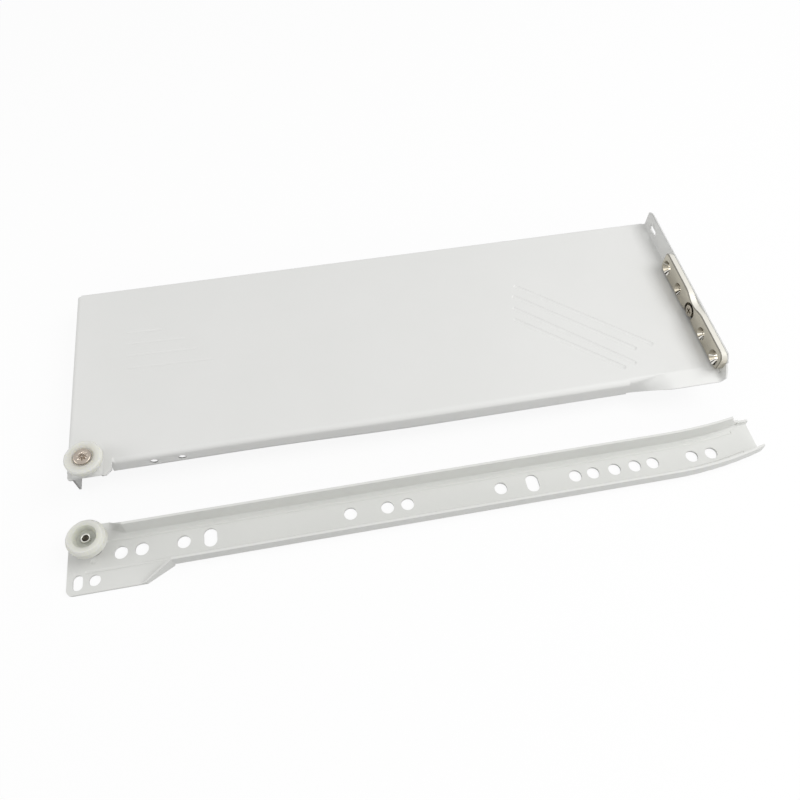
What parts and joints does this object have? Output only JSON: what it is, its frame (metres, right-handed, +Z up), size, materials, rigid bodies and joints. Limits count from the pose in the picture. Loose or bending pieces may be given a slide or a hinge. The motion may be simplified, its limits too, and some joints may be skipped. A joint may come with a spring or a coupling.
{
  "type": "drawer side with roller runner",
  "caption": "Folded steel drawer side and its cabinet runner, lying apart, with nylon rollers, a riveted axle each and a height-adjustable front bracket.",
  "frame": {"origin": "centre of the runner's front system hole, on the runner's back face", "axes": "+X along both pieces, from the roller end to the bracket end; +Y from the runner towards the drawer side's top edge; +Z up from the surface that both pieces lie on, out of the runner's open face"},
  "size_m": [0.3473, 0.167, 0.0314],
  "materials": {
    "runner_paint": "white powder coat, soft satin",
    "side_paint": "white powder coat, soft satin",
    "runner_nylon": "off-white nylon, slightly see-through",
    "side_nylon": "off-white nylon, slightly see-through",
    "rivet_steel": "zinc-plated rivet",
    "side_rivet_steel": "zinc-plated rivet with a pressed head",
    "spacer_steel": "grey steel bush",
    "nickel_plate": "satin nickel plate",
    "screw_steel": "plated cross-head screw"
  },
  "bodies": {
    "runner": {"runner_rail": "runner_paint", "runner_rivet": "rivet_steel", "runner_spacer": "spacer_steel"},
    "runner_wheel": {"runner_roller": "runner_nylon"},
    "side": {"side_panel": "side_paint", "side_rivet": "side_rivet_steel"},
    "side_wheel": {"side_roller": "side_nylon"},
    "bracket": {"front_bracket": "nickel_plate"},
    "screw": {"bracket_screw": "screw_steel"}
  },
  "joints": [
    {"name": "drawer_slide", "type": "slide", "parent": "runner", "child": "side", "axis": [1, 0, 0], "range_m": [0, 0.245]},
    {"name": "runner_roller_spin", "type": "hinge", "parent": "runner", "child": "runner_wheel", "pos_m": [-0.0222, 0.0047, 0.0115], "axis": [0, 0, 1], "continuous": true},
    {"name": "side_roller_spin", "type": "hinge", "parent": "side", "child": "side_wheel", "pos_m": [-0.02025, 0.0394, 0.0246], "axis": [0, 0, 1], "continuous": true},
    {"name": "bracket_height", "type": "slide", "parent": "side", "child": "bracket", "axis": [0, 1, 0], "range_m": [-0.0015, 0.0015]},
    {"name": "bracket_screw_turn", "type": "hinge", "parent": "side", "child": "screw", "pos_m": [0.3022, 0.0753, 0.024], "axis": [1, 0, 0], "continuous": true}
  ]
}
